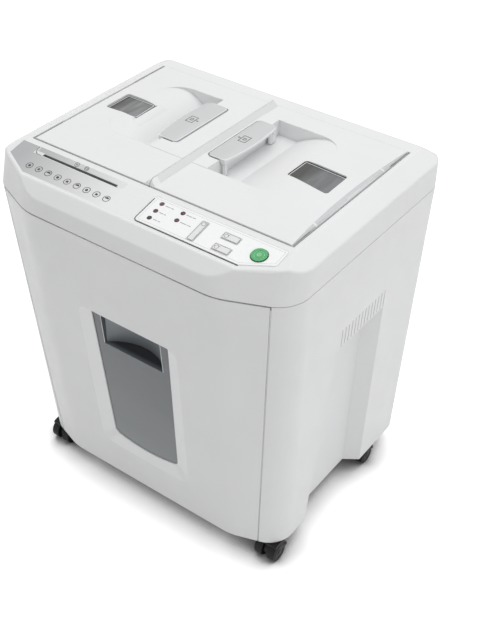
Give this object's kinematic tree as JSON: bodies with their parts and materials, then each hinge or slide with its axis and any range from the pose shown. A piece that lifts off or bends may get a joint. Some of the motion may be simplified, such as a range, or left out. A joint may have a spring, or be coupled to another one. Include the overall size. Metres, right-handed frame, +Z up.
{
  "type": "paper shredder",
  "caption": "Free-standing auto-feed paper shredder with twin hinged stack lids, sloped control panel, disc slot, windowed pull-out bin and swivel casters.",
  "frame": {"origin": "on the floor under the middle of the machine", "axes": "+Z up, front towards -Y, +X to the right seen from the front"},
  "size_m": [0.4678, 0.3758, 0.5299],
  "materials": {
    "white_plastic": "fine satin texture",
    "lever_grey": "satin silver-grey",
    "smoked_pane": "smoked clear plastic",
    "bin_grey": "satin",
    "dark_plastic": "matt",
    "caster_black": "satin",
    "caster_tread": "matt",
    "overlay_white": "printed film",
    "button_green": "gloss",
    "lamp_red": "unlit tinted lens",
    "board_green": "solder resist",
    "deck_steel": "zinc plated",
    "cutter_steel": "machined, oiled",
    "gear_nylon": "moulded",
    "bush_bronze": "sintered",
    "roller_rubber": "matt"
  },
  "bodies": {
    "cabinet": {"cabinet_shell": "white_plastic", "base_plate": "dark_plastic", "bin_rails": "dark_plastic", "chassis_deck": "deck_steel", "top_cover": "white_plastic", "cover_screws": "cutter_steel", "disc_slot_liner": "dark_plastic", "control_overlay": "overlay_white", "indicator_leds": "lamp_red", "control_board": "board_green", "paper_tray": "dark_plastic", "lid_hinge_pins": "cutter_steel", "cutter_front_plate": "deck_steel", "cutter_back_plate": "deck_steel", "cutter_tie_bars": "cutter_steel", "cutter_bushes": "bush_bronze", "gear_motor": "deck_steel", "power_inlet": "dark_plastic", "disc_cutter_blocks": "deck_steel"},
    "drawer": {"drawer_front": "white_plastic", "drawer_window": "smoked_pane", "waste_bin": "bin_grey", "bin_screws": "cutter_steel"},
    "right_lid": {"right_lid": "white_plastic", "right_lid_window": "smoked_pane"},
    "left_lid": {"left_lid": "white_plastic", "left_lid_window": "smoked_pane"},
    "right_lever": {"right_lid_lever": "lever_grey"},
    "left_lever": {"left_lid_lever": "lever_grey"},
    "power_button": {"power_button": "button_green"},
    "mode_key": {"mode_key": "overlay_white"},
    "rear_key": {"rear_key": "overlay_white"},
    "front_key": {"front_key": "overlay_white"},
    "right_cutter": {"right_cutter": "cutter_steel", "right_mesh_gear": "cutter_steel", "drive_gear": "cutter_steel", "right_takeoff_gear": "gear_nylon"},
    "left_cutter": {"left_cutter": "cutter_steel", "left_mesh_gear": "cutter_steel", "left_takeoff_gear": "gear_nylon"},
    "right_feed": {"right_feed_shaft": "cutter_steel", "right_feed_sleeves": "roller_rubber", "right_feed_gear": "gear_nylon"},
    "left_feed": {"left_feed_shaft": "cutter_steel", "left_feed_sleeves": "roller_rubber", "left_feed_gear": "gear_nylon"},
    "motor_pinion": {"motor_pinion": "cutter_steel"},
    "rear_disc_cutter": {"rear_disc_cutter": "cutter_steel"},
    "front_disc_cutter": {"front_disc_cutter": "cutter_steel"},
    "caster_front_right": {"caster_fork_front_right": "caster_black"},
    "wheels_front_right": {"caster_wheels_front_right": "caster_tread"},
    "caster_front_left": {"caster_fork_front_left": "caster_black"},
    "wheels_front_left": {"caster_wheels_front_left": "caster_tread"},
    "caster_rear_right": {"caster_fork_rear_right": "caster_black"},
    "wheels_rear_right": {"caster_wheels_rear_right": "caster_tread"},
    "caster_rear_left": {"caster_fork_rear_left": "caster_black"},
    "wheels_rear_left": {"caster_wheels_rear_left": "caster_tread"}
  },
  "joints": [
    {"name": "drawer_slide", "type": "slide", "parent": "cabinet", "child": "drawer", "axis": [0, -1, 0], "range_m": [0, 0.25]},
    {"name": "right_lid_hinge", "type": "hinge", "parent": "cabinet", "child": "right_lid", "pos_m": [0.195, 0.0194, 0.5184], "axis": [0, 1, 0], "range_deg": [0, 95]},
    {"name": "left_lid_hinge", "type": "hinge", "parent": "cabinet", "child": "left_lid", "pos_m": [-0.195, 0.0194, 0.5184], "axis": [0, -1, 0], "range_deg": [0, 95]},
    {"name": "right_lever_pivot", "type": "hinge", "parent": "right_lid", "child": "right_lever", "pos_m": [0.0065, 0.0444, 0.5206], "axis": [0, -1, 0], "range_deg": [0, 20], "stiffness_Nm_per_rad": 0.3},
    {"name": "left_lever_pivot", "type": "hinge", "parent": "left_lid", "child": "left_lever", "pos_m": [-0.0495, 0.0444, 0.5206], "axis": [0, 1, 0], "range_deg": [0, 20], "stiffness_Nm_per_rad": 0.3},
    {"name": "power_button_press", "type": "slide", "parent": "cabinet", "child": "power_button", "axis": [0, 0.2167, -0.9762], "range_m": [0, 0.0012], "stiffness_N_per_m": 400},
    {"name": "mode_key_press", "type": "slide", "parent": "cabinet", "child": "mode_key", "axis": [0, 0.2167, -0.9762], "range_m": [0, 0.0012], "stiffness_N_per_m": 400},
    {"name": "rear_key_press", "type": "slide", "parent": "cabinet", "child": "rear_key", "axis": [0, 0.2167, -0.9762], "range_m": [0, 0.0012], "stiffness_N_per_m": 400},
    {"name": "front_key_press", "type": "slide", "parent": "cabinet", "child": "front_key", "axis": [0, 0.2167, -0.9762], "range_m": [0, 0.0012], "stiffness_N_per_m": 400},
    {"name": "right_cutter_spin", "type": "hinge", "parent": "cabinet", "child": "right_cutter", "pos_m": [0.0255, 0.0294, 0.4014], "axis": [0, 1, 0], "continuous": true},
    {"name": "left_cutter_spin", "type": "hinge", "parent": "cabinet", "child": "left_cutter", "pos_m": [-0.0255, 0.0294, 0.4014], "axis": [0, 1, 0], "continuous": true},
    {"name": "right_feed_spin", "type": "hinge", "parent": "cabinet", "child": "right_feed", "pos_m": [0.045, 0.0294, 0.4624], "axis": [0, 1, 0], "continuous": true},
    {"name": "left_feed_spin", "type": "hinge", "parent": "cabinet", "child": "left_feed", "pos_m": [-0.045, 0.0294, 0.4624], "axis": [0, 1, 0], "continuous": true},
    {"name": "motor_pinion_spin", "type": "hinge", "parent": "cabinet", "child": "motor_pinion", "pos_m": [0.0895, 0.1594, 0.4014], "axis": [0, 1, 0], "continuous": true},
    {"name": "rear_disc_cutter_spin", "type": "hinge", "parent": "cabinet", "child": "rear_disc_cutter", "pos_m": [-0.104, -0.11935, 0.43], "axis": [1, 0, 0], "continuous": true},
    {"name": "front_disc_cutter_spin", "type": "hinge", "parent": "cabinet", "child": "front_disc_cutter", "pos_m": [-0.104, -0.14035, 0.43], "axis": [1, 0, 0], "continuous": true},
    {"name": "swivel_front_right", "type": "hinge", "parent": "cabinet", "child": "caster_front_right", "pos_m": [0.1935, -0.1106, 0.03], "axis": [0, 0, 1], "continuous": true},
    {"name": "roll_front_right", "type": "hinge", "parent": "caster_front_right", "child": "wheels_front_right", "pos_m": [0.1935, -0.1226, 0.015], "axis": [1, 0, 0], "continuous": true},
    {"name": "swivel_front_left", "type": "hinge", "parent": "cabinet", "child": "caster_front_left", "pos_m": [-0.1935, -0.1106, 0.03], "axis": [0, 0, 1], "continuous": true},
    {"name": "roll_front_left", "type": "hinge", "parent": "caster_front_left", "child": "wheels_front_left", "pos_m": [-0.1935, -0.1226, 0.015], "axis": [1, 0, 0], "continuous": true},
    {"name": "swivel_rear_right", "type": "hinge", "parent": "cabinet", "child": "caster_rear_right", "pos_m": [0.193, 0.1244, 0.03], "axis": [0, 0, 1], "continuous": true},
    {"name": "roll_rear_right", "type": "hinge", "parent": "caster_rear_right", "child": "wheels_rear_right", "pos_m": [0.193, 0.1124, 0.015], "axis": [1, 0, 0], "continuous": true},
    {"name": "swivel_rear_left", "type": "hinge", "parent": "cabinet", "child": "caster_rear_left", "pos_m": [-0.193, 0.1244, 0.03], "axis": [0, 0, 1], "continuous": true},
    {"name": "roll_rear_left", "type": "hinge", "parent": "caster_rear_left", "child": "wheels_rear_left", "pos_m": [-0.193, 0.1124, 0.015], "axis": [1, 0, 0], "continuous": true}
  ],
  "couplings": [
    {"joint": "left_cutter_spin", "follows": "right_cutter_spin", "ratio": -1},
    {"joint": "right_feed_spin", "follows": "right_cutter_spin", "ratio": -1},
    {"joint": "left_feed_spin", "follows": "right_cutter_spin", "ratio": 1},
    {"joint": "motor_pinion_spin", "follows": "right_cutter_spin", "ratio": -3},
    {"joint": "front_disc_cutter_spin", "follows": "rear_disc_cutter_spin", "ratio": -1}
  ]
}
